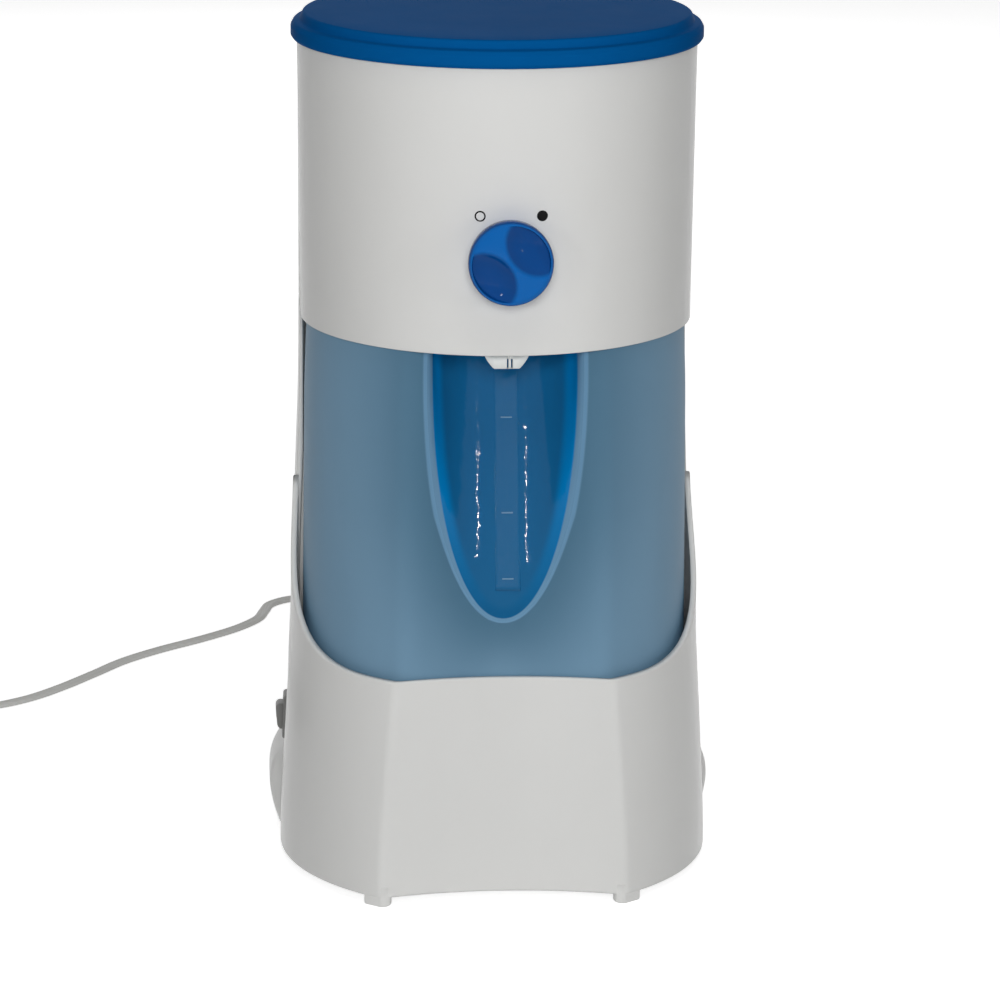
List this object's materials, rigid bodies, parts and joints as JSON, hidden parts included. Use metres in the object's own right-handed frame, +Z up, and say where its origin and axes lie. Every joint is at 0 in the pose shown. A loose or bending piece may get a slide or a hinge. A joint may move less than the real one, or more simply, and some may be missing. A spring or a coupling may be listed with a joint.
{
  "type": "iced tea maker",
  "caption": "Iced tea maker: a heated base with a rear tower holds a frosted pitcher; a steeping drum with a hinged lid, a strength knob and a tea basket stands on the pitcher.",
  "frame": {"origin": "centre of the footprint's bounding box at the table, cord left out", "axes": "+Z up, -Y towards the front (knob and pitcher facet), +X to the right seen from the rear left of centre, that is to the viewer's right from the front"},
  "size_m": [0.4346, 0.524, 0.3945],
  "materials": {
    "housing": "satin",
    "rear_plastic": "satin",
    "inner_plastic": "matte",
    "drum_plastic": "gloss",
    "lid_plastic": "gloss",
    "pitcher_plastic": "frosted, with a polished recess",
    "tank_plastic": "translucent",
    "spout_plastic": "satin",
    "valve_plastic": "satin",
    "heater_metal": "satin",
    "steel": "brushed",
    "thermostat_metal": "satin",
    "fuse_ceramic": "matte sleeve",
    "hose_rubber": "matte silicone",
    "switch_frame": "matte",
    "switch_dark": "matte",
    "cord_jacket": "satin",
    "tie_wire": "matte"
  },
  "bodies": {
    "base": {"front_shell": "housing", "rear_housing": "rear_plastic", "pitcher_well": "inner_plastic", "tower_cap": "rear_plastic", "bottom_cover": "inner_plastic", "bottom_screws": "steel", "reservoir_tank": "tank_plastic", "cold_hose": "hose_rubber", "check_valve_body": "valve_plastic", "heating_tube": "heater_metal", "heating_element": "steel", "heater_clamps": "heater_metal", "thermostat": "thermostat_metal", "thermal_fuse": "fuse_ceramic", "hot_hose": "hose_rubber", "riser_tube": "spout_plastic", "hose_clips": "steel", "switch_bezel": "switch_frame", "switch_body": "switch_dark", "strain_relief": "cord_jacket", "cord": "cord_jacket", "cord_coil": "cord_jacket", "cord_tie": "tie_wire", "plug_body": "cord_jacket", "plug_blades": "steel"},
    "check_ball": {"check_ball": "hose_rubber"},
    "rocker": {"rocker": "switch_dark"},
    "pitcher": {"pitcher": "pitcher_plastic"},
    "drum": {"drum_shell": "drum_plastic", "dock_cover": "drum_plastic", "outlet_nozzle": "spout_plastic", "filter_basket": "spout_plastic", "shower_arm": "spout_plastic", "shower_head": "spout_plastic", "valve_guide": "spout_plastic", "hinge_pin": "steel"},
    "lid": {"lid": "lid_plastic"},
    "knob": {"knob": "lid_plastic", "knob_shaft": "valve_plastic", "knob_clip": "steel"},
    "valve": {"valve_stem": "valve_plastic"}
  },
  "joints": [
    {"name": "pitcher_lift", "type": "slide", "parent": "base", "child": "pitcher", "axis": [0, 0, 1], "range_m": [0, 0.17]},
    {"name": "drum_lift", "type": "slide", "parent": "pitcher", "child": "drum", "axis": [0, 0, 1], "range_m": [0, 0.06]},
    {"name": "lid_hinge", "type": "hinge", "parent": "drum", "child": "lid", "pos_m": [0, 0.07541, 0.3869], "axis": [-1, 0, 0], "range_deg": [0, 100]},
    {"name": "knob_turn", "type": "hinge", "parent": "drum", "child": "knob", "pos_m": [0, -0.1, 0.3002], "axis": [0, 1, 0], "range_deg": [0, 66]},
    {"name": "valve_slide", "type": "slide", "parent": "drum", "child": "valve", "axis": [0, 0, -1], "range_m": [0, 0.0058]},
    {"name": "rocker_tilt", "type": "hinge", "parent": "base", "child": "rocker", "pos_m": [-0.0926, 0.00941, 0.05593], "axis": [0, 1, 0], "range_deg": [0, 16]},
    {"name": "check_ball_slide", "type": "slide", "parent": "base", "child": "check_ball", "axis": [0, -1, 0], "range_m": [0, 0.0024]}
  ],
  "couplings": [
    {"joint": "valve_slide", "follows": "knob_turn", "m_per_rad": 0.005}
  ]
}
